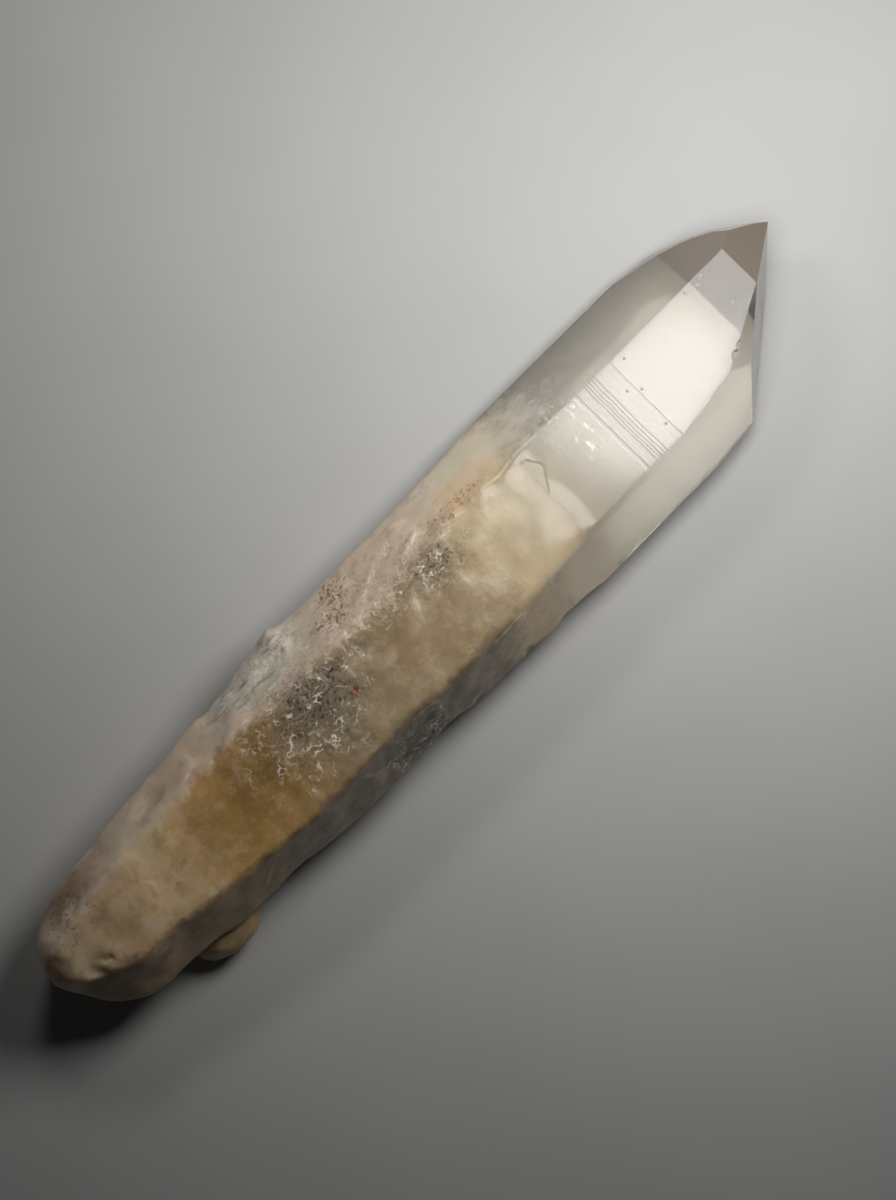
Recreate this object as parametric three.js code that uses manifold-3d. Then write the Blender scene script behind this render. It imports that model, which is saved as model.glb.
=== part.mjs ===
// A natural quartz point lying on its broad prism face: one solid crystal, clear and flat-faced at the tip,
// rough and ledged towards the worn base. Millimetres, +Z up, the tip towards +X.
import * as THREE from "three";
import { ImprovedNoise } from "three/addons/math/ImprovedNoise.js";
import { mergeVertices } from "three/addons/utils/BufferGeometryUtils.js";
import Module from "manifold-3d";

const wasm = await Module();
wasm.setup();

// Driving dimensions: the box that the whole crystal fills.
const LENGTH = 270;
const WIDTH = 55;
const HEIGHT = 35;

// Quartz keeps its angles: prism faces turn by 60 degrees, and a termination face leans in by 38.2 degrees.
const PRISM_TURN = 60;
const RHOMB_LEAN = 38.2;

// The tip, where the termination faces meet.
const APEX = [135, 7.6, 20];

// Flat faces of the clear end. Azimuth turns from straight up towards +Y, and lean tilts a face to the tip.
const CLEAR_BACK = 36;
const GROWTH_STEP = [85.6, 0, 32.8];
const TOP_LEAN = 1.6;
const FIRST_LINE = 66.4;

// The left shoulder rounds in to the tip in narrow faces, each as [x, y, lean].
const SHOULDER = [
  [89.4, 25.5, 4.5],
  [97, 24.6, 9],
  [111.6, 22, 13.5],
  [112, 22.2, 18],
  [121, 19, 22.5],
  [121, 19.2, 27],
  [124.4, 17.2, 34],
];
const SHOULDER_AZIMUTH = 80;
const SHOULDER_HEIGHT = 10;

const CLEAR_FACES = [
  { name: "top, before the growth lines", azimuth: 0, lean: -1.4, through: onTopFace(FIRST_LINE) },
  { name: "top", azimuth: 0, lean: TOP_LEAN, through: GROWTH_STEP },
  { name: "top, past the growth step", azimuth: 0, lean: 2.6, through: GROWTH_STEP },
  { name: "upper left", azimuth: PRISM_TURN, lean: 1.5, through: [60, 11.6, 33.5] },
  { name: "lower left", azimuth: 2 * PRISM_TURN, lean: 0, through: [60, 25.8, 9.5] },
  { name: "bottom", azimuth: 3 * PRISM_TURN, lean: 0, through: [0, 0, 0] },
  { name: "lower right", azimuth: -2 * PRISM_TURN, lean: 0, through: [60, -27.6, 11.5] },
  { name: "upper right", azimuth: -PRISM_TURN, lean: 0, through: [60, -14.8, 33.5] },
  { name: "upper right, to the shoulder", azimuth: -PRISM_TURN, lean: 8.2, through: [82, -15, 32.9] },
  ...SHOULDER.map(([x, y, lean]) => ({ azimuth: SHOULDER_AZIMUTH, lean, through: [x, y, SHOULDER_HEIGHT] })),
  { name: "tip, top", azimuth: 0, lean: RHOMB_LEAN, through: APEX },
  { name: "tip, bevel", azimuth: -46, lean: 22.6, through: [120.3, -1.5, 31.2] },
  { name: "tip, right", azimuth: -78, lean: RHOMB_LEAN, through: APEX },
  { name: "tip, lower right", azimuth: -2 * PRISM_TURN, lean: RHOMB_LEAN, through: [118, -10, 12] },
  { name: "tip, bottom", azimuth: 3 * PRISM_TURN, lean: RHOMB_LEAN, through: APEX },
  { name: "tip, lower left", azimuth: 2 * PRISM_TURN, lean: RHOMB_LEAN, through: APEX },
  { name: "tip, left", azimuth: 75, lean: 42, through: APEX },
];

// Growth lines across the top face: where each one is along the crystal, and how wide it is.
const STRIATIONS = [
  [67.6, 0.4], [70.4, 0.4], [71.2, 0.3], [72, 0.4], [73, 0.3], [74, 0.4], [79.6, 0.3],
];

// Sides of the trunk, each between one ridge and the next.
const TOP = 0;
const UPPER_RIGHT = 1;
const LOWER_RIGHT = 2;
const UPPER_LEFT = 5;

// Sections of the trunk from the base. The ridges, as [y, z]: top left, top right, right, bottom right,
// bottom left and left. The last section lies inside the clear end.
const SECTIONS = [
  { x: -135, ridges: [[5, 23], [0.5, 22.5], [-1.4, 16], [0, 10], [3.5, 10], [4.8, 16]] },
  { x: -131, ridges: [[7.5, 29.2], [-2.5, 28.2], [-8.5, 17], [-6, 4.5], [8, 4.5], [11.5, 20]] },
  { x: -125, ridges: [[8.2, 31], [-5.5, 29.8], [-15.9, 16], [-13, 1], [12, 1], [15.2, 21]] },
  { x: -116, ridges: [[9.7, 32.8], [-10, 31.8], [-19.8, 15.5], [-16.5, 0], [15.5, 0], [18.8, 21.5]] },
  { x: -104, ridges: [[11.8, 33.5], [-10.2, 32.7], [-20, 15.5], [-17, 0], [16.5, 0], [19.8, 21.5]] },
  { x: -88, ridges: [[12.4, 33.8], [-13, 33.2], [-22.8, 15], [-19.2, 0], [17.8, 0], [21.2, 22]] },
  { x: -70, ridges: [[12.4, 34.1], [-15.2, 33.5], [-22.8, 15], [-19.4, 0], [18.8, 0], [22.6, 22]] },
  { x: -55, ridges: [[13.5, 34.3], [-16.2, 33.8], [-25, 14.5], [-20.8, 0], [19.8, 0], [23.6, 21.5]] },
  { x: -40, ridges: [[12, 34.4], [-16.2, 34], [-25.3, 14], [-21.2, 0], [20.4, 0], [24.6, 21]] },
  { x: -25, ridges: [[10.8, 34.4], [-15.2, 34.1], [-25.3, 13.5], [-21.4, 0], [20.8, 0], [25.2, 20.5]] },
  { x: -8, ridges: [[10.5, 34.3], [-17.2, 34], [-26.2, 13], [-21.6, 0], [20.8, 0], [25.2, 19.5]] },
  { x: 12, ridges: [[11, 34.3], [-16.4, 34], [-26.7, 12.5], [-21.8, 0], [20.8, 0], [25, 18]] },
  { x: 28, ridges: [[13, 34], [-17, 33.9], [-27, 12], [-22, 0], [20.8, 0], [25.5, 15]] },
  { x: 42, ridges: [[12, 33.5], [-16, 33.4], [-27.5, 11.6], [-22, 0], [21, 0], [25.6, 12]] },
  { x: 52, ridges: [[10.5, 32.4], [-13.6, 32.4], [-25.6, 11], [-21, 0.8], [20, 0.8], [24.4, 9.5]] },
];
const RING_STEP = 2.9;
const BASE_RING_STEP = 1.4;
const BASE_END = -118;
const POINTS_PER_SIDE = 7;

// How rough each stretch of the trunk is, as [x, share of the full roughness].
const BROAD_ROUGHNESS = 0.8;
const LEDGE_ROUGHNESS = 0.9;
const ROUGH_ALONG = [[-135, 1], [-112, 1], [-95, 0.6], [-62, 0.5], [-52, 1], [12, 1], [30, 0.45], [52, 0.2]];
const SMOOTH_SIDE = { side: UPPER_RIGHT, from: 10, to: 45, keep: 0.25 };

// Terraces that grew on the trunk. Each dips under the surface towards the base and ends in a ledge towards
// the tip, proud of its side. The outline is [x, share of the way across the side].
const TERRACES = [
  {
    side: UPPER_RIGHT,
    proud: 0.5,
    outline: [[-11, 0.4], [6, 0.16], [20.5, 0.06], [15.7, 0.4], [12, 0.75], [10.5, 0.93], [-10, 0.8]],
  },
  {
    side: UPPER_RIGHT,
    proud: 0.9,
    outline: [[-34, 0.4], [-24, 0.14], [-13, 0.06], [-14, 0.7], [-18, 0.86], [-33, 0.8]],
  },
  {
    side: UPPER_RIGHT,
    proud: 0.4,
    outline: [[-64, 0.1], [-42, 0.04], [-37, 0.5], [-46, 0.85], [-62, 0.8]],
  },
  {
    side: UPPER_RIGHT,
    proud: 0.4,
    outline: [[-102, 0.2], [-80, 0.05], [-72, 0.3], [-78, 0.75], [-98, 0.7]],
  },
  {
    side: TOP,
    proud: 0.5,
    outline: [[20, 0.12], [47, 0.1], [49.5, 0.26], [45, 0.5], [42.4, 0.62], [34, 0.78], [21, 0.7]],
  },
  {
    side: TOP,
    proud: 0.4,
    outline: [[-58, 0.04], [-31, 0.03], [-28, 0.3], [-37, 0.44], [-55, 0.36]],
  },
  {
    side: TOP,
    proud: 0.4,
    outline: [[-4, 0.04], [19, 0.04], [21, 0.2], [14, 0.3], [-3, 0.22]],
  },
  {
    side: TOP,
    proud: 0.4,
    outline: [[-114, 0.14], [-101, 0.08], [-96, 0.6], [-104, 0.86], [-113, 0.6]],
  },
  {
    side: UPPER_LEFT,
    proud: 0.4,
    outline: [[12, 0.4], [22, 0.2], [38, 0.25], [47, 0.55], [45, 0.97], [14, 0.92]],
  },
  {
    side: UPPER_LEFT,
    proud: 0.6,
    outline: [[-26, 0.3], [-9, 0.24], [-5, 0.7], [-12, 0.96], [-27, 0.9]],
  },
  {
    side: UPPER_LEFT,
    proud: 0.5,
    outline: [[-8, 0.2], [13, 0.2], [16, 0.62], [5, 0.8], [-9, 0.5]],
  },
  {
    side: UPPER_LEFT,
    proud: 0.4,
    outline: [[-94, 0.2], [-70, 0.3], [-66, 0.8], [-76, 0.95], [-96, 0.7]],
  },
];
const TERRACE_ROOT = 3;
const TERRACE_BEVEL = 0.5;

// Small rough crystals fused to the trunk, each along +X turned by yaw. Their profiles are [radius, run].
const SIDE_CRYSTALS = [
  {
    name: "left lump",
    start: [-62, 13.4, 20],
    yaw: 10,
    profile: [[0, 0], [7.6, 6], [8, 13], [8.2, 20], [8, 26], [7.8, 32], [5.8, 34.6], [0, 35.5]],
  },
  {
    name: "low tab",
    start: [-106, -19, 5.6],
    yaw: -13,
    profile: [[0, 0], [4.4, 3.5], [5.7, 8.5], [5.7, 13], [4.6, 18], [0, 23]],
  },
];

const LUMP_SIZE = 4.3;
const LUMP_DEPTH = 1.4;

// Shallow scoops broken out of the trunk: where on a side, their length along and across it, and their depth.
const SCOOPS = [
  { x: -113.5, side: TOP, share: 0.62, size: [9, 6], depth: 1.3 },
  { x: -124, side: TOP, share: 0.95, size: [5, 5], depth: 1.6 },
  { x: -117, side: UPPER_LEFT, share: 0.7, size: [6, 5], depth: 1.4 },
  { x: -130, side: TOP, share: 0.3, size: [7, 8], depth: 1.2 },
  { x: -84, side: UPPER_LEFT, share: 0.5, size: [9, 7], depth: 1.2 },
  { x: -64, side: UPPER_LEFT, share: 0.8, size: [10, 6], depth: 1 },
  { x: -36, side: TOP, share: 0.5, size: [9, 5], depth: 1 },
  { x: -16, side: TOP, share: 0.3, size: [12, 7], depth: 0.4 },
  { x: 28, side: UPPER_LEFT, share: 0.97, size: [8, 5], depth: 1.2 },
  { x: -5.4, side: UPPER_RIGHT, share: 0.98, size: [4, 6], depth: 1.5 },
  { x: 12.8, side: UPPER_RIGHT, share: 1, size: [4, 6], depth: 1 },
  { x: -56, side: LOWER_RIGHT, share: 0.4, size: [14, 7], depth: 1.3 },
];

// Small chips along the top right edge of the clear end: balls that bite into the edge.
const EDGE_CHIPS = [
  { at: [101.6, -13.4, 33.2], radius: 2 },
  { at: [104, -11.2, 33.6], radius: 2.6 },
  { at: [106.8, -10, 33.4], radius: 2.4 },
  { at: [109.4, -9.6, 33], radius: 2 },
];

// A crack across the base, as a thin wedge: middle, run, width and depth.
const CRACK = { x: -120, side: TOP, share: 0.76, run: 9, width: 1.6, depth: 2 };

const noise = new ImprovedNoise();

function faceNormal(azimuth, lean) {
  const around = THREE.MathUtils.degToRad(azimuth);
  const inward = THREE.MathUtils.degToRad(lean);
  const flat = Math.cos(inward);
  return new THREE.Vector3(Math.sin(inward), flat * Math.sin(around), flat * Math.cos(around));
}

// A closed geometry as a solid that can be joined and cut.
function solidOf(geometry) {
  const bare = geometry.clone();
  bare.deleteAttribute("normal");
  bare.deleteAttribute("uv");
  const merged = mergeVertices(bare, 1e-4);
  return new wasm.Manifold(new wasm.Mesh({
    numProp: 3,
    vertProperties: new Float32Array(merged.attributes.position.array),
    triVerts: new Uint32Array(merged.index.array),
  }));
}

function geometryOf(solid) {
  const mesh = solid.getMesh();
  const geometry = new THREE.BufferGeometry();
  geometry.setAttribute("position", new THREE.BufferAttribute(new Float32Array(mesh.vertProperties), 3));
  geometry.setIndex(new THREE.BufferAttribute(new Uint32Array(mesh.triVerts), 1));
  return geometry;
}

// Everything on the outer side of a face, as a block large enough to cut the crystal.
function outside({ azimuth, lean, through }) {
  const size = 3 * LENGTH;
  const normal = faceNormal(azimuth, lean);
  const block = new THREE.BoxGeometry(size, size, size);
  const turn = new THREE.Quaternion().setFromUnitVectors(new THREE.Vector3(0, 0, 1), normal);
  block.applyQuaternion(turn);
  block.translate(...new THREE.Vector3(...through).addScaledVector(normal, size / 2).toArray());
  return solidOf(block);
}

function clearEnd() {
  const front = APEX[0] + 1;
  const block = new THREE.BoxGeometry(front - CLEAR_BACK, 2 * WIDTH, 2 * HEIGHT);
  block.translate((front + CLEAR_BACK) / 2, 0, HEIGHT / 2);
  let solid = solidOf(block);
  for (const face of CLEAR_FACES) solid = solid.subtract(outside(face));
  for (const line of STRIATIONS) solid = solid.subtract(striation(line));
  return solid;
}

// A point of the top face between the growth lines and the growth step.
function onTopFace(x) {
  const [stepX, , stepZ] = GROWTH_STEP;
  return [x, 0, stepZ + (stepX - x) * Math.tan(THREE.MathUtils.degToRad(TOP_LEAN))];
}

// A shallow V across the top face, cut by a square rod on edge.
function striation([x, width]) {
  const rod = new THREE.BoxGeometry(width, WIDTH, width);
  rod.rotateY(Math.PI / 4);
  rod.translate(...onTopFace(x));
  rod.translate(0, 0, 0.35 * width);
  return solidOf(rod);
}

// The ridges of the trunk at any place along it.
const sectionValues = SECTIONS.flatMap(({ ridges }) => ridges.flat());
const sections = new THREE.CubicInterpolant(SECTIONS.map(({ x }) => x), sectionValues, 12);

function ridgesAt(x) {
  const values = sections.evaluate(x);
  return [0, 2, 4, 6, 8, 10].map((i) => new THREE.Vector3(x, values[i], values[i + 1]));
}

function onTrunk(x, side, share) {
  const ridges = ridgesAt(x);
  return ridges[side].clone().lerp(ridges[(side + 1) % ridges.length], share);
}

// The frame of a side at the back of a stretch: along the crystal, across the side and out of it.
function sideFrame(back, front, side, share) {
  const across = onTrunk(back, side, 1).sub(onTrunk(back, side, 0));
  const width = across.length();
  across.normalize();
  const point = onTrunk(back, side, share);
  const along = onTrunk(front, side, share).sub(point).normalize();
  const out = new THREE.Vector3().crossVectors(across, along).normalize();
  across.crossVectors(along, out);
  return { point, along, across, out, width };
}

function amountAlong(table, x) {
  const next = table.findIndex(([at]) => at >= x);
  if (next <= 0) return table.at(next)[1];
  const [[x0, a0], [x1, a1]] = table.slice(next - 1, next + 1);
  return THREE.MathUtils.mapLinear(x, x0, x1, a0, a1);
}

// How far the rough surface stands out at a point: broad lumps, and ledges in steps across the growth.
function roughness(p, side) {
  const broad = noise.noise(p.x / 15, p.y / 10, p.z / 10);
  const wave = noise.noise(p.x / 6.5 + 40, p.y / 9, p.z / 9);
  const ledge = Math.round(3 * wave) / 3;
  const smooth = side === SMOOTH_SIDE.side && p.x > SMOOTH_SIDE.from && p.x < SMOOTH_SIDE.to;
  const share = amountAlong(ROUGH_ALONG, p.x) * (smooth ? SMOOTH_SIDE.keep : 1);
  return share * (BROAD_ROUGHNESS * broad + LEDGE_ROUGHNESS * ledge);
}

function trunkRing(x) {
  const ring = [];
  for (let side = 0; side < 6; side++) {
    const { out } = sideFrame(x, x + 1, side, 0.5);
    for (let i = 0; i < POINTS_PER_SIDE; i++) {
      const p = onTrunk(x, side, i / POINTS_PER_SIDE);
      ring.push(p.addScaledVector(out, roughness(p, side)));
    }
  }
  return ring;
}

function trunk() {
  const first = SECTIONS[0].x;
  const last = SECTIONS.at(-1).x;
  const rings = [];
  for (let x = first; x < last; x += x < BASE_END ? BASE_RING_STEP : RING_STEP) rings.push(trunkRing(x));
  const around = rings[0].length;
  const index = [];
  const quad = (a, b) => index.push(a, b, a + around, b, b + around, a + around);
  const cap = (centre, a, b) => index.push(centre, a, b);
  const baseCentre = rings.length * around;
  const frontCentre = baseCentre + 1;
  const frontRing = (rings.length - 1) * around;
  for (let j = 0; j < around; j++) {
    const next = (j + 1) % around;
    for (let i = 0; i < rings.length - 1; i++) quad(i * around + j, i * around + next);
    cap(baseCentre, next, j);
    cap(frontCentre, frontRing + j, frontRing + next);
  }
  const middle = (ring) => ring.reduce((sum, p) => sum.add(p), new THREE.Vector3()).divideScalar(around);
  const points = [...rings.flat(), middle(rings[0]), middle(rings.at(-1))];
  const geometry = new THREE.BufferGeometry().setFromPoints(points);
  geometry.setIndex(index);
  return solidOf(geometry);
}

function growthTerrace({ side, proud, outline }) {
  const xs = outline.map(([x]) => x);
  const back = Math.min(...xs);
  const front = Math.max(...xs);
  const share = outline.reduce((sum, [, s]) => sum + s / outline.length, 0);
  const frame = sideFrame(back, front, side, share);
  const corners = outline.map(([x, s]) => new THREE.Vector2(x - back, (share - s) * frame.width));
  const plate = new THREE.ExtrudeGeometry(new THREE.Shape(corners), {
    depth: TERRACE_ROOT,
    bevelThickness: TERRACE_BEVEL,
    bevelSize: TERRACE_BEVEL,
    bevelOffset: -TERRACE_BEVEL,
    bevelSegments: 1,
  });
  plate.translate(0, 0, -TERRACE_ROOT - 2 * TERRACE_BEVEL);
  plate.rotateY(-Math.atan2(proud + TERRACE_BEVEL, front - back));
  placeOnSide(plate, frame, 0);
  return solidOf(plate);
}

// Moves a shape made flat, with X along and Z out, onto a side of the trunk.
function placeOnSide(shape, { point, along, across, out }, height) {
  shape.applyMatrix4(new THREE.Matrix4().makeBasis(along, across.clone().negate(), out));
  shape.translate(...point.clone().addScaledVector(out, height).toArray());
}

// Pushes the points of a shape about, by noise of a given grain size.
function roughened(shape, grain, depth) {
  const points = shape.attributes.position;
  const p = new THREE.Vector3();
  for (let i = 0; i < points.count; i++) {
    p.fromBufferAttribute(points, i);
    const q = p.clone().divideScalar(grain);
    p.x += depth * noise.noise(q.x + 7, q.y, q.z);
    p.y += depth * noise.noise(q.x, q.y + 17, q.z);
    p.z += depth * noise.noise(q.x, q.y, q.z + 27);
    points.setXYZ(i, p.x, p.y, p.z);
  }
  return shape;
}

function sideCrystal({ start, yaw, profile }) {
  const outline = profile.map(([radius, run]) => new THREE.Vector2(radius, run));
  const lathe = roughened(new THREE.LatheGeometry(outline, 12), LUMP_SIZE, LUMP_DEPTH);
  lathe.rotateZ(-Math.PI / 2);
  lathe.rotateZ(THREE.MathUtils.degToRad(yaw));
  lathe.translate(...start);
  return solidOf(lathe);
}

function scoop({ x, side, share, size, depth }) {
  const dish = new THREE.IcosahedronGeometry(1, 1);
  dish.rotateX(x);
  dish.scale(size[0] / Math.SQRT2, size[1] / Math.SQRT2, 2 * depth);
  roughened(dish.translate(x, 0, 0), LUMP_SIZE, depth).translate(-x, 0, 0);
  placeOnSide(dish, sideFrame(x, x + 1, side, share), depth);
  return solidOf(dish);
}

function edgeChip({ at, radius }) {
  const ball = new THREE.IcosahedronGeometry(radius, 1);
  ball.translate(...at);
  return solidOf(ball);
}

function crack({ x, side, share, run, width, depth }) {
  const wedge = new THREE.CylinderGeometry(0.7, 0.05, 2 * depth, 4, 1, false, Math.PI / 4);
  wedge.scale(run, 1, 2 * width);
  wedge.rotateX(Math.PI / 2);
  placeOnSide(wedge, sideFrame(x, x + 1, side, share), 0);
  return solidOf(wedge);
}

// The finished solid, moved and scaled to stand in its box with the origin under the middle.
function fitToBox(geometry) {
  geometry.computeBoundingBox();
  const size = geometry.boundingBox.getSize(new THREE.Vector3());
  const middle = geometry.boundingBox.getCenter(new THREE.Vector3());
  geometry.translate(-middle.x, -middle.y, -geometry.boundingBox.min.z);
  geometry.scale(LENGTH / size.x, WIDTH / size.y, HEIGHT / size.z);
  return geometry;
}

function wholeCrystal() {
  let solid = clearEnd().add(trunk());
  for (const terrace of TERRACES) solid = solid.add(growthTerrace(terrace));
  for (const small of SIDE_CRYSTALS) solid = solid.add(sideCrystal(small));
  for (const dish of SCOOPS) solid = solid.subtract(scoop(dish));
  for (const bite of EDGE_CHIPS) solid = solid.subtract(edgeChip(bite));
  solid = solid.subtract(crack(CRACK));
  solid = solid.subtract(outside({ azimuth: 180, lean: 0, through: [0, 0, 0] }));
  return fitToBox(geometryOf(solid));
}

const crystal = new THREE.Mesh(
  wholeCrystal(),
  new THREE.MeshStandardMaterial({ color: 0xc9b798, roughness: 0.25, metalness: 0 }),
);
crystal.name = "crystal";

const group = new THREE.Group();
group.add(crystal);
export default group;
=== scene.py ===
# A quartz point lying on a pale floor: smoky clear at the tip, rough and stained towards the worn base.
import math

import bmesh
import bpy
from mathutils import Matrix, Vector, noise


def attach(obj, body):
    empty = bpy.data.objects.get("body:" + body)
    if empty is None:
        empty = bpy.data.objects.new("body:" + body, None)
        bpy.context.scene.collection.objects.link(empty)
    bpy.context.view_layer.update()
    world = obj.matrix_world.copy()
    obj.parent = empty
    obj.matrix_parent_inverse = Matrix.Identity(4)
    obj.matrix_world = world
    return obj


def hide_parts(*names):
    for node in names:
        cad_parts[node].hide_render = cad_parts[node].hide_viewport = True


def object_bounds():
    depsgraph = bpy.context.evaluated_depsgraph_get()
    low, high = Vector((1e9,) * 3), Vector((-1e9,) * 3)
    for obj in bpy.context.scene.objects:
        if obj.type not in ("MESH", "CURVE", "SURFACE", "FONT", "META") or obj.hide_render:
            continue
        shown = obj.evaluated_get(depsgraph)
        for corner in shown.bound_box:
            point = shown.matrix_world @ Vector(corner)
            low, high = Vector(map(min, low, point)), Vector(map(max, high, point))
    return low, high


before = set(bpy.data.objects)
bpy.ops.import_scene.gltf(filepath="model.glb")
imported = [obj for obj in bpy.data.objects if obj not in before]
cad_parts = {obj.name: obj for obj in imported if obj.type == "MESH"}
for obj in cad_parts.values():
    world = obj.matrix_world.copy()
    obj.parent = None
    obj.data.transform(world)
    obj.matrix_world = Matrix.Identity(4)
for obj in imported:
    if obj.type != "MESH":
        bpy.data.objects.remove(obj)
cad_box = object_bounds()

# Blender works in metres, and the crystal's own values below are in millimetres: +X to the tip, +Z up.
MM = 0.001

# The camera looks straight down from far off, turned so that the crystal rises to the right.
CAMERA_PLACE = (7.3, -1.8, 1400)
CAMERA_TURN = math.radians(-45.53)
CAMERA_LENS = 160.2

# Soft lamps, one above and beyond the tip and a small one on the left, and a faint cool fill from all round.
# Each lamp: place, what it points at, size and watts.
LAMPS = {
    "tip_lamp": ((159, 16, 228), (159, 16, 0), (225, 130), 0.52),
    "left_lamp": ((72, 188, 235), (70, 0, 20), (122, 42), 0.115),
}
LAMP_TINT = (1.0, 0.985, 0.955)
FILL_TINT = (0.82, 0.9, 1.0)
FILL_STRENGTH = 0.008

# The floor lies a hair below the crystal, so that the two surfaces never coincide.
FLOOR_SIDE = 3000
FLOOR_DROP = 0.3
FLOOR_TINT = (0.6, 0.605, 0.605)
FLOOR_DARKER = 0.96
FLOOR_UNEVEN_SIZE = 60
FLOOR_ROUGHNESS = 0.6

# The trunk's mesh is refined to this edge length behind the clear end, then worn smooth before the relief.
# Each worn stretch: where it starts and ends, and its rounds of smoothing.
FINE_EDGE = 1.05
FINE_ROUNDS = 4
FINE_END = 58
WORN_STRETCHES = ((-140, 22, 12), (14, 44, 22), (-140, 46, 3))
CRISP_LEDGE = ((8, 24), (-28, -19.5))
UNDERSIDE = 0.1
SAME_POINT = 0.002
CLEAR_START = 50
SHARP_ANGLE = math.radians(42)
CLEAR_SHARP_ANGLE = math.radians(2)

# Relief of the trunk: broad waves, and chips where the surface is crumbly.
WAVE_SIZE = 7
WAVE_DEPTH = 0.38
GRAIN_SIZE = 1.6
GRAIN_DEPTH = 0.06
CHIP_SIZE = (2.6, 1.6, 1.6)
CHIP_DEPTH = 0.8
CHIP_SEED = 7.31
RELIEF_ALONG = ((-135, 1), (10, 1), (24, 0.45), (40, 0.25), (56, 0))

# Crumbly places, as centre and radii, how ragged their border is and where it runs, in radii.
CRUMBLY = (
    ((-40, 3, 34), (18, 15, 9)),
    ((-42, 22, 22), (18, 8, 14)),
    ((-4, 14, 31), (28, 10, 10)),
    ((12, 6, 34), (7, 6, 6)),
    ((-22, -22, 20), (12, 7, 13)),
)
CRUMBLY_RAGGED = 0.5
CRUMBLY_RAGGED_SIZE = 5
CRUMBLY_BORDER = (0.75, 1.25)
LEAST_CRUMBLY = 0.15

# Colour of the top along the crystal, as (x, colour).
COLOUR_ALONG = (
    (-135, (0.95, 0.74, 0.52)),
    (-124, (0.92, 0.7, 0.45)),
    (-112, (0.78, 0.56, 0.33)),
    (-88, (1.0, 0.75, 0.44)),
    (-72, (0.74, 0.46, 0.17)),
    (-54, (0.56, 0.36, 0.15)),
    (-36, (0.46, 0.35, 0.22)),
    (-8, (0.54, 0.4, 0.23)),
    (14, (0.56, 0.43, 0.26)),
    (26, (0.82, 0.65, 0.41)),
    (42, (0.88, 0.73, 0.5)),
    (56, (0.74, 0.69, 0.58)),
    (65, (0.78, 0.75, 0.67)),
    (74, (0.96, 0.94, 0.9)),
)

# Clouds bend the zones along the crystal and fray them across it: size, and how far in all.
CLOUD_SIZE = 16
CLOUD_REACH = 24
FRAY_SIZE = 4
FRAY_REACH = 8

# Where the stained trunk has faded out, and where it starts to.
TRUNK_FADE = (40, 14)

# Half of the crystal's width, the span of its ridges.
HALF_WIDTH = 27.5

# Ridges between the top and the sides, as (x, y), and the tints of the sides: painted shade on the right,
# and on the left the paler stone partly with painted light.
LEFT_RIDGE = ((-125, 8), (-105, 11), (-55, 13.5), (-25, 10.8), (12, 11), (30, 13))
RIGHT_RIDGE = ((-125, -5.5), (-110, -10), (-88, -13), (-60, -16), (20, -17))
# The left tint is the paler stone, partly painted light on the lit left side.
LEFT_PALE_AND_PAINTED_LIGHT_TINT = (0.98, 0.79, 0.63)
LEFT_SHARE = 0.85
LEFT_BORDER = (-3, 1)
# Painted shade: the right side's dark tints stand in for the shade that side lies in.
RIGHT_PAINTED_SHADE_TINT = (0.24, 0.205, 0.165)
RIGHT_BASE_PAINTED_SHADE_TINT = (0.42, 0.29, 0.19)
RIGHT_SHADE_BASE_STRETCH = (-90, -66)
RIGHT_SHADE_SHARE = 0.75
RIGHT_SHADE_BORDER = (-1.5, 1.5)

# The slanted edge on the right where the painted shade of the side ends: a point of it, and the direction
# across it.
SHADE_END = (20.5, -18)
SHADE_END_ACROSS = (0.62, -0.785)
SHADE_END_BORDER = (0.3, -0.3)

# How clear the crystal is along its length, and how rough its skin, as (x, value).
CLEAR_ALONG = ((-110, 0.05), (-80, 0.18), (-50, 0.2), (14, 0.2), (30, 0.42), (46, 0.82), (62, 0.97))
ROUGH_SKIN_ALONG = ((-110, 0.5), (-85, 0.34), (-50, 0.3), (14, 0.32), (40, 0.24), (66, 0.14), (135, 0.14))

# The flat top face of the clear end: how level it is, how high and where it starts, and its roughness.
TOP_FACE_LEVEL = (0.96, 0.99)
TOP_FACE_HEIGHT = (24, 28)
TOP_FACE_ALONG = (58, 66)
TOP_FACE_ROUGHNESS = 0.11

# The clear end is smokier on its left and at the tip.
SMOKY_TINT = (0.88, 0.84, 0.78)
SMOKY_LEFT = (8, 16)
SMOKY_LEFT_ALONG = (44, 64)
SMOKY_CLOUD_SIZE = 22
SMOKY_CLOUD_REACH = 30
SMOKY_TIP = (100, 114)
SMOKY_TIP_ACROSS = (-6, 0)
SMOKY_TIP_SLANT = (0.97, 0.9)
SMOKY_TIP_TINT = (0.66, 0.57, 0.48)
SMOKY_TIP_CLEAR = 0.68

# The left is milky behind the clear end: centre, radii and how much of the clearness goes.
MILKY_LEFT = ((36, 20, 24), (24, 10, 16))
MILKY_SHARE = 0.6

# The right and the underside are clear: where that starts along the crystal, across it and down it.
WINDOW_ALONG = (20, 36)
WINDOW_ACROSS = (-15, -18)
WINDOW_DOWN = (4, 1)
WINDOW_CLEAR = 0.98
WINDOW_TINT = (1.0, 0.97, 0.9)

# Growth lines across the top face, as x, and how wide they show.
GROWTH_LINES = (66.6, 67.7, 70.5, 71.3, 72.1, 73.1, 74.1, 79.7)
GROWTH_LINE_WIDTH = 0.26
GROWTH_LINE_TINT = (0.62, 0.59, 0.53)
GROWTH_LINE_SHARE = 0.55
GROWTH_LINE_WAVE = 0.6
GROWTH_LINE_WAVE_SIZE = 9

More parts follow.
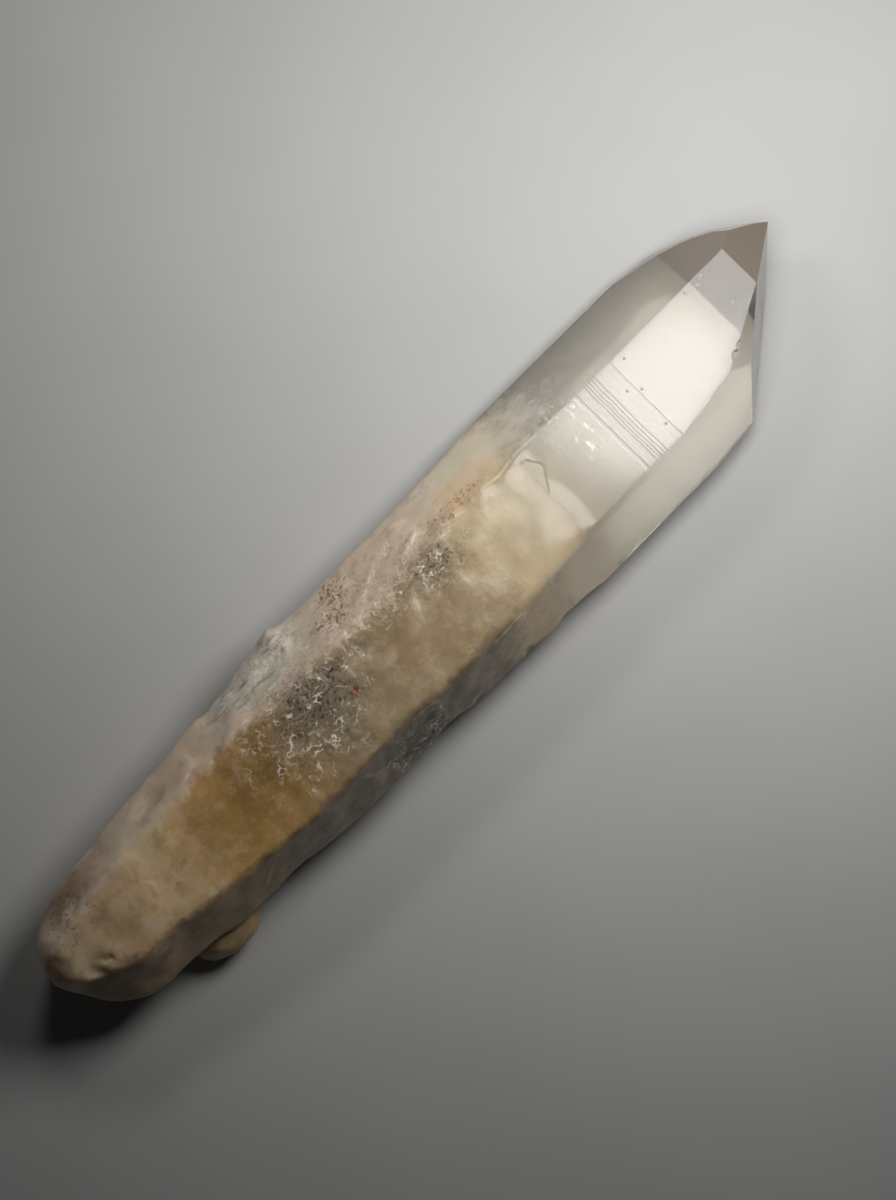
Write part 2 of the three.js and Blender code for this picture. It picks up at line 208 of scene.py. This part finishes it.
# White feathers just behind the growth lines: centre, radii and their streaks' size along and across.
FEATHERS = ((60, 8, 33), (6, 10, 5))
FEATHER_STREAK = (1.4, 4.5, 4.5)
FEATHER_TINT = (0.95, 0.93, 0.88)
FEATHER_FROM = (0.52, 0.68)
FEATHER_MILK = 0.7

# Small pits on the top face, as (x, y).
PITS = ((83, 9.3), (77.6, 2.9), (80.6, 0.6), (78.6, -10), (113, -0.3), (106, 9.9), (109.6, 9.1), (112, 10.2))
PIT_RADIUS = 0.5
PIT_TINT = (0.16, 0.15, 0.13)

# Stains and zones, one of them with painted light: centre, radii, colour and share of the colour.
PATCHES = (
    ("golden heart", (-67, -2, 33), (19, 10, 12), (0.5, 0.3, 0.08), 0.65),
    ("brown edge of it", (-57, 2, 33), (11, 8, 9), (0.36, 0.21, 0.07), 0.55),
    ("stain by the base", (-115, 15, 22), (12, 4, 10), (0.34, 0.17, 0.06), 0.6),
    ("grey sparkle", (-37, 3, 34), (13, 9, 9), (0.25, 0.21, 0.17), 0.55),
    ("pale crumbs on the left", (-40, 20, 24), (17, 8, 13), (1.0, 0.93, 0.8), 0.85),
    ("milky left", (40, 20, 24), (22, 9, 16), (1.0, 0.88, 0.7), 0.85),
    ("peach flush", (30, 16, 30), (13, 6, 9), (1.0, 0.72, 0.47), 0.75),
    ("pale yellow plate", (33, 3, 34), (15, 11, 9), (0.9, 0.75, 0.47), 0.5),
    ("dark rough patch", (10, 8, 34), (9, 6, 7), (0.34, 0.27, 0.19), 0.5),
    # Painted light: the tan facet is brightened for the light that comes through the clear end.
    ("tan facet with painted light", (24, -22, 22), (14, 8, 16), (0.98, 0.8, 0.56), 0.8),
    ("dark block", (-22, -21, 22), (10, 6, 11), (0.12, 0.1, 0.085), 0.5),
    ("ochre tab", (-95, -20, 5), (13, 8, 7), (0.6, 0.42, 0.18), 0.7),
)
PATCH_EDGE = 0.55
PATCH_WARP = 1.6
PATCH_WARP_SIZE = 5

# Places peppered with small spots: centre, radii, colour and how crowded the spots are.
PEPPERED = (
    ("rust on the left", (-12, 21, 24), (6, 4, 6), (0.4, 0.15, 0.06), 0.5),
    ("rust above it", (-17, 16, 29), (6, 3, 5), (0.38, 0.14, 0.06), 0.5),
    ("red spot", (-26, -1.5, 34.5), (2.2, 1.4, 2), (0.36, 0.08, 0.04), 0.8),
    ("orange by the plate", (26, 14, 31), (9, 3, 6), (0.62, 0.3, 0.12), 0.4),
    ("dark crumbs", (12, 7, 34), (8, 5, 6), (0.14, 0.11, 0.08), 0.3),
    ("pits of the base", (-118, 9, 26), (10, 7, 9), (0.26, 0.16, 0.08), 0.25),
    ("grit of the sparkle", (-36, 4, 34), (14, 8, 8), (0.08, 0.07, 0.06), 0.4),
)
PEPPER_SIZE = 0.9
PEPPER_SHARE = 0.85
PEPPER_CROWDING = 0.3
PEPPER_BORDER = (0.66, 0.72)

# Bright and dark streaks along the lump on the left.
STREAKED = ((-42, 22, 22), (19, 8, 14))
STREAK_SIZE = (9, 1.1, 1.1)
STREAK_DARK = (0.3, 0.25, 0.2)
STREAK_PALE = (0.92, 0.87, 0.79)
STREAK_DARK_FROM = (0.48, 0.36)
STREAK_PALE_FROM = (0.54, 0.64)
STREAK_SHARE = 0.6

# Mottling of the trunk, and pale squiggles in it that are painted glints.
MOTTLE_SIZE = 4.5
MOTTLE_DARK = (0.18, 0.13, 0.08)
MOTTLE_DARK_FROM = (0.52, 0.3)
MOTTLE_DARK_SHARE = 0.26
MOTTLE_PALE = (0.86, 0.77, 0.63)
MOTTLE_PALE_FROM = (0.52, 0.72)
MOTTLE_PALE_SHARE = 0.26
GLINT_SQUIGGLE_SIZE = 2.3
GLINT_SQUIGGLE_WIDTH = 0.05
GLINT_SQUIGGLE_LENGTH = 3.4
GLINT_SQUIGGLE_FROM = (0.48, 0.66)
SUGAR_SIZE = 0.8
SUGAR_DARK = (0.2, 0.16, 0.12)
SUGAR_DARK_FROM = (0.48, 0.34)
SUGAR_PALE_FROM = (0.54, 0.68)
SUGAR_SHARE = 0.32
# The colour of the pale crumbs, also used for the painted glints.
CRUMB_AND_GLINT_TINT = (0.93, 0.86, 0.74)

# The finest grain of the skin: its size and depth, its strength everywhere and what crumbly places add.
SKIN_GRAIN_SIZE = 0.9
SKIN_GRAIN_DEPTH = 0.3
SKIN_GRAIN = 0.1
CRUMBLY_GRAIN = 0.45

# Light wanders a little way through the milky part of the crystal, more in red than in blue.
GLOW_ALONG = ((-135, 0.7), (8, 0.7), (50, 0))
GLOW_RADIUS = (1.0, 0.72, 0.45)
GLOW_DEPTH = 5

# Plain optical values of quartz, with a faint smoky tint.
QUARTZ_IOR = 1.544
SMOKE_TINT = (0.82, 0.74, 0.64)
SMOKE_DENSITY = 4.0


def along(table, x):
    """The value of a table of (x, value) at x, in straight lines between its entries."""
    if x <= table[0][0]:
        return table[0][1]
    for (x0, v0), (x1, v1) in zip(table, table[1:]):
        if x <= x1:
            return v0 + (v1 - v0) * (x - x0) / (x1 - x0)
    return table[-1][1]


def flat_chip(place):
    """A random height from -1 to 0 that is the same all over each small chipped plate."""
    scaled = Vector((place.x / CHIP_SIZE[0], place.y / CHIP_SIZE[1], place.z / CHIP_SIZE[2]))
    centre = noise.voronoi(scaled)[1][0]
    return -0.5 - 0.5 * noise.noise(centre * CHIP_SEED)


def crumbly_share(place):
    """How crumbly the surface is at a place: 1 in the middle of a crumbly place, 0 well outside."""
    nearest = min(
        math.dist((0, 0, 0), [(place[i] - centre[i]) / radii[i] for i in range(3)])
        for centre, radii in CRUMBLY
    )
    ragged = nearest + CRUMBLY_RAGGED * noise.noise(place / CRUMBLY_RAGGED_SIZE)
    inner, outer = CRUMBLY_BORDER
    return min(max((outer - ragged) / (outer - inner), 0), 1)


def relief(place):
    """How far the skin stands off the solid at a place in millimetres."""
    share = along(RELIEF_ALONG, place.x)
    if share == 0:
        return 0
    waves = noise.noise(place / WAVE_SIZE) * WAVE_DEPTH
    grain = noise.fractal(place / GRAIN_SIZE, 1.0, 2.0, 3) * GRAIN_DEPTH
    chips = flat_chip(place) * CHIP_DEPTH * crumbly_share(place)
    return share * (waves + grain + chips)


def refine(bm):
    """Splits the long edges behind the clear end until the relief has enough points."""
    for _ in range(FINE_ROUNDS):
        long_edges = [
            edge for edge in bm.edges
            if min(v.co.x for v in edge.verts) < FINE_END * MM and edge.calc_length() > FINE_EDGE * MM
        ]
        if not long_edges:
            break
        bmesh.ops.subdivide_edges(bm, edges=long_edges, cuts=1, use_grid_fill=True)
        bmesh.ops.triangulate(bm, faces=[face for face in bm.faces if len(face.verts) > 3])


def wear(bm):
    """Rounds the trunk's ledges, except the one crisp ledge and the flat underside."""
    (x0, x1), (y0, y1) = CRISP_LEDGE

    def worn(place):
        crisp = x0 < place.x < x1 and y0 < place.y < y1
        return place.z > UNDERSIDE and not crisp

    for start, end, rounds in WORN_STRETCHES:
        verts = [v for v in bm.verts if start * MM < v.co.x < end * MM and worn(v.co / MM)]
        for _ in range(rounds):
            bmesh.ops.smooth_vert(
                bm, verts=verts, factor=0.5, use_axis_x=True, use_axis_y=True, use_axis_z=True
            )


def mark_edges(bm):
    """Shades the trunk smooth except at steep breaks, and every face of the clear end flat."""
    for face in bm.faces:
        face.smooth = True
    for edge in bm.edges:
        clear = min(v.co.x for v in edge.verts) > CLEAR_START * MM
        edge.smooth = edge.calc_face_angle(0) < (CLEAR_SHARP_ANGLE if clear else SHARP_ANGLE)


def carve(bm):
    """Moves each point of the trunk along its normal by the relief, kept inside the solid's own box."""
    low, high = cad_box
    bm.normal_update()
    moves = [(v, v.normal * relief(v.co / MM) * MM) for v in bm.verts]
    for v, move in moves:
        if move.length > 0:
            for axis in range(3):
                v.co[axis] = min(max(v.co[axis] + move[axis], low[axis]), high[axis])


def crystal_piece():
    """The crystal's visible mesh, made from a copy of its solid."""
    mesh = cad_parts["crystal"].data.copy()
    mesh.name = "crystal_skin"
    bm = bmesh.new()
    bm.from_mesh(mesh)
    bmesh.ops.remove_doubles(bm, verts=bm.verts, dist=SAME_POINT * MM)
    refine(bm)
    wear(bm)
    carve(bm)
    mark_edges(bm)
    bm.to_mesh(mesh)
    bm.free()
    piece = bpy.data.objects.new("quartz_point", mesh)
    bpy.context.scene.collection.objects.link(piece)
    return piece


class Graph:
    """Short calls for the nodes of one material. An input is a number, a colour or another node's output."""

    def __init__(self, material):
        self.tree = material.node_tree

    def node(self, kind, inputs=None, **settings):
        made = self.tree.nodes.new(kind)
        for name, value in settings.items():
            setattr(made, name, value)
        for key, value in (inputs or {}).items():
            if isinstance(value, bpy.types.NodeSocket):
                self.tree.links.new(value, made.inputs[key])
            else:
                made.inputs[key].default_value = value
        return made

    def math(self, operation, a, b=0.0, clamp=False):
        return self.node("ShaderNodeMath", {0: a, 1: b}, operation=operation, use_clamp=clamp).outputs[0]

    def vector(self, operation, a, b=(0, 0, 0)):
        made = self.node("ShaderNodeVectorMath", {0: a, 1: b}, operation=operation)
        return made.outputs["Value" if operation == "LENGTH" else "Vector"]

    def step(self, value, low, high):
        """Rises smoothly from 0 at low to 1 at high."""
        inputs = {"Value": value, "From Min": low, "From Max": high}
        return self.node("ShaderNodeMapRange", inputs, interpolation_type="SMOOTHSTEP").outputs["Result"]

    def noise(self, place, size, detail=3.0, roughness=0.5, output="Fac"):
        """Noise whose patches are about size millimetres across."""
        inputs = {"Vector": place, "Scale": 1 / size, "Detail": detail, "Roughness": roughness}
        return self.node("ShaderNodeTexNoise", inputs).outputs[output]

    def mix(self, share, a, b):
        """A colour between a and b."""
        made = self.node("ShaderNodeMix", data_type="RGBA")
        for socket, value in ((made.inputs[0], share), (made.inputs[6], a), (made.inputs[7], b)):
            if isinstance(value, bpy.types.NodeSocket):
                self.tree.links.new(value, socket)
            else:
                socket.default_value = (*value, 1) if isinstance(value, tuple) else value
        return made.outputs[2]

    def blend(self, share, a, b):
        """A number between a and b."""
        return self.node("ShaderNodeMix", {0: share, 2: a, 3: b}).outputs[0]

    def patch(self, place, warp, centre, radii):
        """1 inside a soft ellipsoid with a ragged border, 0 outside."""
        offset = self.vector("DIVIDE", self.vector("SUBTRACT", place, centre), radii)
        distance = self.vector("LENGTH", self.vector("ADD", offset, warp))
        return self.step(distance, 1 + PATCH_EDGE, 1 - PATCH_EDGE)

    def ridge(self, x, table):
        """The sideways place of a ridge along the crystal."""
        shares = tuple((at, (y + HALF_WIDTH) / (2 * HALF_WIDTH)) for at, y in table)
        share = self.math("MULTIPLY", self.ramp(x, shares), 2 * HALF_WIDTH)
        return self.math("SUBTRACT", share, HALF_WIDTH)

    def ramp(self, value, table):
        """A colour or a number that follows a table of (x, value) along the crystal."""
        low, high = table[0][0], table[-1][0]
        share = self.node("ShaderNodeMapRange", {"Value": value, "From Min": low, "From Max": high})
        made = self.node("ShaderNodeValToRGB", {"Fac": share.outputs["Result"]})
        stops = made.color_ramp.elements
        while len(stops) < len(table):
            stops.new(0.5)
        for stop, (x, entry) in zip(stops, table):
            stop.position = (x - low) / (high - low)
            stop.color = (*entry, 1) if isinstance(entry, tuple) else (entry, entry, entry, 1)
        return made.outputs["Color"]


def zones(graph, place, x, y):
    """The trunk's broad colour, how clear it is and its share: base to tip, and the two sides, with painted
    shade on the right and partly painted light on the left.
    """
    # Broad clouds bend the zones, so that no border runs straight across.
    clouds = graph.math("SUBTRACT", graph.noise(place, CLOUD_SIZE, 2, 0.55), 0.5)
    bent_x = graph.math("ADD", x, graph.math("MULTIPLY", clouds, CLOUD_REACH))
    fray = graph.math("SUBTRACT", graph.noise(place, FRAY_SIZE, 2, 0.6), 0.5)
    ragged_y = graph.math("ADD", y, graph.math("MULTIPLY", fray, FRAY_REACH))
    trunk = graph.step(bent_x, *TRUNK_FADE)
    colour = graph.ramp(bent_x, COLOUR_ALONG)
    clear = graph.ramp(bent_x, CLEAR_ALONG)

    # Paler on the left: partly the stone's own paler colour, partly painted light on the lit left side.
    from_left = graph.math("SUBTRACT", ragged_y, graph.ridge(x, LEFT_RIDGE))
    left_share = graph.math("MULTIPLY", trunk, LEFT_SHARE)
    left = graph.math("MULTIPLY", graph.step(from_left, *LEFT_BORDER), left_share)
    colour = graph.mix(left, colour, LEFT_PALE_AND_PAINTED_LIGHT_TINT)

    # Painted shade: darker grey on the right up to the slanted edge.
    from_right = graph.math("SUBTRACT", graph.ridge(x, RIGHT_RIDGE), ragged_y)
    past_x = graph.math("MULTIPLY", graph.math("SUBTRACT", x, SHADE_END[0]), SHADE_END_ACROSS[0])
    past_y = graph.math("MULTIPLY", graph.math("SUBTRACT", y, SHADE_END[1]), SHADE_END_ACROSS[1])
    before_edge = graph.step(graph.math("ADD", past_x, past_y), *SHADE_END_BORDER)
    right = graph.math("MULTIPLY", graph.step(from_right, *RIGHT_SHADE_BORDER), before_edge)
    right_shade_tint = graph.mix(graph.step(bent_x, *RIGHT_SHADE_BASE_STRETCH), RIGHT_BASE_PAINTED_SHADE_TINT, RIGHT_PAINTED_SHADE_TINT)
    colour = graph.mix(graph.math("MULTIPLY", right, RIGHT_SHADE_SHARE), colour, right_shade_tint)
    return colour, clear, trunk


def stained(graph, place, warp, colour):
    """The colour with the stains, the peppered places and the streaks of the lump."""
    for _, centre, radii, tint, share in PATCHES:
        inside = graph.patch(place, warp, centre, radii)
        colour = graph.mix(graph.math("MULTIPLY", inside, share), colour, tint)

    spots = graph.noise(place, PEPPER_SIZE, 2, 0.5)
    for _, centre, radii, tint, crowding in PEPPERED:
        inside = graph.math("MULTIPLY", graph.patch(place, warp, centre, radii), crowding)
        raised = graph.math("ADD", spots, graph.math("MULTIPLY", inside, PEPPER_CROWDING))
        spot = graph.step(raised, *PEPPER_BORDER)
        shown = graph.math("MULTIPLY", graph.math("MULTIPLY", spot, inside), PEPPER_SHARE / crowding)
        colour = graph.mix(shown, colour, tint)

    streaks = graph.noise(graph.vector("DIVIDE", place, STREAK_SIZE), 1, 3, 0.55)
    lump = graph.math("MULTIPLY", graph.patch(place, warp, *STREAKED), STREAK_SHARE)
    dark = graph.math("MULTIPLY", graph.step(streaks, *STREAK_DARK_FROM), lump)
    pale = graph.math("MULTIPLY", graph.step(streaks, *STREAK_PALE_FROM), lump)
    colour = graph.mix(dark, colour, STREAK_DARK)
    return graph.mix(pale, colour, STREAK_PALE)


def mottled(graph, place, trunk, colour):
    """The colour with soft darker and lighter mottling on the trunk."""
    mottle = graph.noise(place, MOTTLE_SIZE, 3, 0.58)
    dark = graph.math("MULTIPLY", graph.step(mottle, *MOTTLE_DARK_FROM), MOTTLE_DARK_SHARE)
    pale = graph.math("MULTIPLY", graph.step(mottle, *MOTTLE_PALE_FROM), MOTTLE_PALE_SHARE)
    colour = graph.mix(graph.math("MULTIPLY", dark, trunk), colour, MOTTLE_DARK)
    return graph.mix(graph.math("MULTIPLY", pale, trunk), colour, MOTTLE_PALE)


def sugared(graph, place, crumbly, trunk, colour):
    """The colour with fine dark and pale grains where the surface is crumbly."""
    grains = graph.noise(place, SUGAR_SIZE, 2, 0.65)
    shown = graph.math("MULTIPLY", graph.math("MULTIPLY", crumbly, trunk), SUGAR_SHARE)
    dark = graph.math("MULTIPLY", graph.step(grains, *SUGAR_DARK_FROM), shown)
    pale = graph.math("MULTIPLY", graph.step(grains, *SUGAR_PALE_FROM), shown)
    colour = graph.mix(dark, colour, SUGAR_DARK)
    return graph.mix(pale, colour, CRUMB_AND_GLINT_TINT)


def glint_squiggles(graph, place, crumbly, trunk):
    """Painted glints: short lengths of the contour lines of a noise, where the surface is crumbly."""
    heights = graph.noise(place, GLINT_SQUIGGLE_SIZE, 1, 0.5)
    contour = graph.math("ABSOLUTE", graph.math("SUBTRACT", heights, 0.5))
    line = graph.step(contour, GLINT_SQUIGGLE_WIDTH, 0.4 * GLINT_SQUIGGLE_WIDTH)
    elsewhere = graph.vector("ADD", place, (40, 0, 0))
    broken = graph.step(graph.noise(elsewhere, GLINT_SQUIGGLE_LENGTH, 2, 0.5), *GLINT_SQUIGGLE_FROM)
    shown = graph.math("MULTIPLY", crumbly, trunk)
    return graph.math("MULTIPLY", graph.math("MULTIPLY", line, broken), shown)


def clear_end(graph, place, x, y, colour):
    """The colour of the clear end with its smoky left and its white feathers, and the feathers."""
    clouds = graph.math("SUBTRACT", graph.noise(place, SMOKY_CLOUD_SIZE, 2, 0.5), 0.5)
    bent_y = graph.math("ADD", y, graph.math("MULTIPLY", clouds, SMOKY_CLOUD_REACH))
    left = graph.math("MULTIPLY", graph.step(bent_y, *SMOKY_LEFT), graph.step(x, *SMOKY_LEFT_ALONG))
    colour = graph.mix(left, colour, SMOKY_TINT)
    streaks = graph.noise(graph.vector("DIVIDE", place, FEATHER_STREAK), 1, 3, 0.6)
    near = graph.patch(place, (0, 0, 0), *FEATHERS)
    feathers = graph.math("MULTIPLY", graph.step(streaks, *FEATHER_FROM), near)
    return graph.mix(feathers, colour, FEATHER_TINT), feathers


def growth_lines(graph, place, x):
    """1 on the fine lines across the top face, 0 elsewhere."""
    wave = graph.math("MULTIPLY", graph.noise(place, GROWTH_LINE_WAVE_SIZE, 1, 0.5), GROWTH_LINE_WAVE)
    uneven = graph.math("ADD", x, wave)
    lines = 0.0
    for at in GROWTH_LINES:
        distance = graph.math("ABSOLUTE", graph.math("SUBTRACT", uneven, at + GROWTH_LINE_WAVE / 2))
        line = graph.step(distance, GROWTH_LINE_WIDTH, 0.3 * GROWTH_LINE_WIDTH)
        lines = graph.math("MAXIMUM", lines, line)
    return graph.math("MULTIPLY", lines, GROWTH_LINE_SHARE)


def pits(graph, x, y):
    """1 on the small pits of the top face, 0 elsewhere."""
    on_top = 0.0
    across = graph.node("ShaderNodeCombineXYZ", {0: x, 1: y}).outputs[0]
    for pit in PITS:
        distance = graph.vector("LENGTH", graph.vector("SUBTRACT", across, (*pit, 0)))
        on_top = graph.math("MAXIMUM", on_top, graph.step(distance, PIT_RADIUS, 0.5 * PIT_RADIUS))
    return on_top


def quartz_material():
    """Clear smoky quartz at the tip that turns milky, stained and rough along the trunk, with painted shade,
    painted light and painted glints on it.
    """
    material = bpy.data.materials.new("quartz")
    material.use_nodes = True
    graph = Graph(material)
    graph.tree.nodes.clear()
    metres = graph.node("ShaderNodeTexCoord").outputs["Object"]
    place = graph.vector("MULTIPLY", metres, (1 / MM, 1 / MM, 1 / MM))
    x, y, z = (graph.node("ShaderNodeSeparateXYZ", {0: place}).outputs[i] for i in range(3))

    # Colour and clearness, from the broad zones to the finest marks.
    colour, clear, trunk = zones(graph, place, x, y)
    warp = graph.noise(place, PATCH_WARP_SIZE, 3, 0.6, "Color")
    warp = graph.vector("MULTIPLY", graph.vector("SUBTRACT", warp, (0.5, 0.5, 0.5)), (PATCH_WARP,) * 3)
    colour = stained(graph, place, warp, colour)
    colour = mottled(graph, place, trunk, colour)
    crumbly = LEAST_CRUMBLY
    for centre, radii in CRUMBLY:
        crumbly = graph.math("MAXIMUM", crumbly, graph.patch(place, warp, centre, radii))
    colour = sugared(graph, place, crumbly, trunk, colour)
    # Painted glints: pale squiggles where the surface is crumbly.
    glint_squiggle = glint_squiggles(graph, place, crumbly, trunk)
    colour = graph.mix(glint_squiggle, colour, CRUMB_AND_GLINT_TINT)
    colour, feathers = clear_end(graph, place, x, y, colour)

    # Milky on the left, and clear on the right and underneath.
    milk = graph.math("MULTIPLY", graph.patch(place, warp, *MILKY_LEFT), MILKY_SHARE)
    clear = graph.math("MULTIPLY", clear, graph.math("SUBTRACT", 1, milk))
    low_or_right = graph.math("MAXIMUM", graph.step(y, *WINDOW_ACROSS), graph.step(z, *WINDOW_DOWN))
    window = graph.math("MULTIPLY", graph.step(x, *WINDOW_ALONG), low_or_right)
    colour = graph.mix(window, colour, WINDOW_TINT)
    clear = graph.blend(window, clear, WINDOW_CLEAR)

    # The flat top face is smoother than the other faces of the clear end, and has small pits.
    normal = graph.node("ShaderNodeNewGeometry").outputs["True Normal"]
    up = graph.node("ShaderNodeSeparateXYZ", {0: normal}).outputs[2]
    flat_top = graph.math("MULTIPLY", graph.step(up, *TOP_FACE_LEVEL), graph.step(z, *TOP_FACE_HEIGHT))
    top_face = graph.math("MULTIPLY", flat_top, graph.step(x, *TOP_FACE_ALONG))
    rough = graph.blend(top_face, graph.ramp(x, ROUGH_SKIN_ALONG), TOP_FACE_ROUGHNESS)
    pit = graph.math("MULTIPLY", pits(graph, x, y), top_face)
    colour = graph.mix(pit, colour, PIT_TINT)
    line = graph.math("MULTIPLY", growth_lines(graph, place, x), top_face)
    colour = graph.mix(line, colour, GROWTH_LINE_TINT)
    marks = graph.math("MAXIMUM", glint_squiggle, graph.math("MAXIMUM", pit, line))
    milky = graph.math("MAXIMUM", marks, graph.math("MULTIPLY", feathers, FEATHER_MILK))
    clear = graph.math("MULTIPLY", clear, graph.math("SUBTRACT", 1, milky))

    # The faces around the tip, other than the top one and the right, are smokier.
    smoky = graph.math("MULTIPLY", graph.step(x, *SMOKY_TIP), graph.step(y, *SMOKY_TIP_ACROSS))
    smoky = graph.math("MULTIPLY", smoky, graph.step(up, *SMOKY_TIP_SLANT))
    colour = graph.mix(smoky, colour, SMOKY_TIP_TINT)
    clear = graph.blend(smoky, clear, SMOKY_TIP_CLEAR)

    # Fine grain of the skin, stronger where it is crumbly.
    grain = graph.math("ADD", graph.noise(place, SKIN_GRAIN_SIZE, 2, 0.6), glint_squiggle)
    grain_strength = graph.math("ADD", SKIN_GRAIN, graph.math("MULTIPLY", crumbly, CRUMBLY_GRAIN))
    strength = graph.math("MULTIPLY", trunk, grain_strength)
    depth = SKIN_GRAIN_DEPTH * MM
    bump = graph.node("ShaderNodeBump", {"Strength": strength, "Distance": depth, "Height": grain})

    inputs = {
        "Base Color": colour,
        "Roughness": rough,
        "IOR": QUARTZ_IOR,
        "Transmission Weight": clear,
        "Subsurface Weight": graph.ramp(x, GLOW_ALONG),
        "Subsurface Radius": GLOW_RADIUS,
        "Subsurface Scale": GLOW_DEPTH * MM,
        "Normal": bump.outputs["Normal"],
    }
    shader = graph.node("ShaderNodeBsdfPrincipled", inputs)
    smoke = graph.node("ShaderNodeVolumeAbsorption", {"Color": (*SMOKE_TINT, 1), "Density": SMOKE_DENSITY})
    surfaces = {"Surface": shader.outputs[0], "Volume": smoke.outputs[0]}
    graph.node("ShaderNodeOutputMaterial", surfaces)
    return material


def floor_material():
    """Pale smooth board with a faint unevenness."""
    material = bpy.data.materials.new("pale_floor")
    material.use_nodes = True
    graph = Graph(material)
    graph.tree.nodes.clear()
    metres = graph.node("ShaderNodeTexCoord").outputs["Object"]
    place = graph.vector("MULTIPLY", metres, (1 / MM, 1 / MM, 1 / MM))
    uneven = graph.step(graph.noise(place, FLOOR_UNEVEN_SIZE, 2, 0.5), 0.3, 0.7)
    darker = tuple(FLOOR_DARKER * channel for channel in FLOOR_TINT)
    colour = graph.mix(uneven, FLOOR_TINT, darker)
    shader = graph.node("ShaderNodeBsdfPrincipled", {"Base Color": colour, "Roughness": FLOOR_ROUGHNESS})
    graph.node("ShaderNodeOutputMaterial", {"Surface": shader.outputs[0]})
    return material


def floor_stage():
    """The pale surface that the crystal lies on."""
    half = FLOOR_SIDE * MM / 2
    drop = -FLOOR_DROP * MM
    corners = [(-half, -half, drop), (half, -half, drop), (half, half, drop), (-half, half, drop)]
    mesh = bpy.data.meshes.new("floor")
    mesh.from_pydata(corners, [], [(0, 1, 2, 3)])
    mesh.materials.append(floor_material())
    floor = bpy.data.objects.new("floor", mesh)
    bpy.context.scene.collection.objects.link(floor)


def lamp(name, place, target, size, watts):
    """A soft oval lamp that the camera doesn't see."""
    made = bpy.data.lights.new(name, "AREA")
    made.shape = "ELLIPSE"
    made.size = size[0] * MM
    made.size_y = size[1] * MM
    made.energy = watts
    made.color = LAMP_TINT
    holder = bpy.data.objects.new(name, made)
    holder.location = Vector(place) * MM
    holder.rotation_euler = (Vector(target) - Vector(place)).to_track_quat("-Z", "Y").to_euler()
    holder.visible_camera = False
    bpy.context.scene.collection.objects.link(holder)


def light():
    """The soft lamps and the faint fill."""
    for name, settings in LAMPS.items():
        lamp(name, *settings)
    world = bpy.data.worlds.new("fill")
    world.use_nodes = True
    background = world.node_tree.nodes["Background"]
    background.inputs["Color"].default_value = (*FILL_TINT, 1)
    background.inputs["Strength"].default_value = FILL_STRENGTH
    bpy.context.scene.world = world


def camera():
    """The photograph's view, from straight above."""
    lens = bpy.data.cameras.new("camera")
    lens.lens = CAMERA_LENS
    lens.clip_start = 0.01
    holder = bpy.data.objects.new("camera", lens)
    holder.location = Vector(CAMERA_PLACE) * MM
    holder.rotation_euler = (0, 0, CAMERA_TURN)
    bpy.context.scene.collection.objects.link(holder)
    bpy.context.scene.camera = holder


camera()
light()
floor_stage()
crystal = crystal_piece()
crystal.data.materials.clear()
crystal.data.materials.append(quartz_material())
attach(crystal, "root")
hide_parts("crystal")

bpy.context.scene.view_settings.view_transform = "Standard"
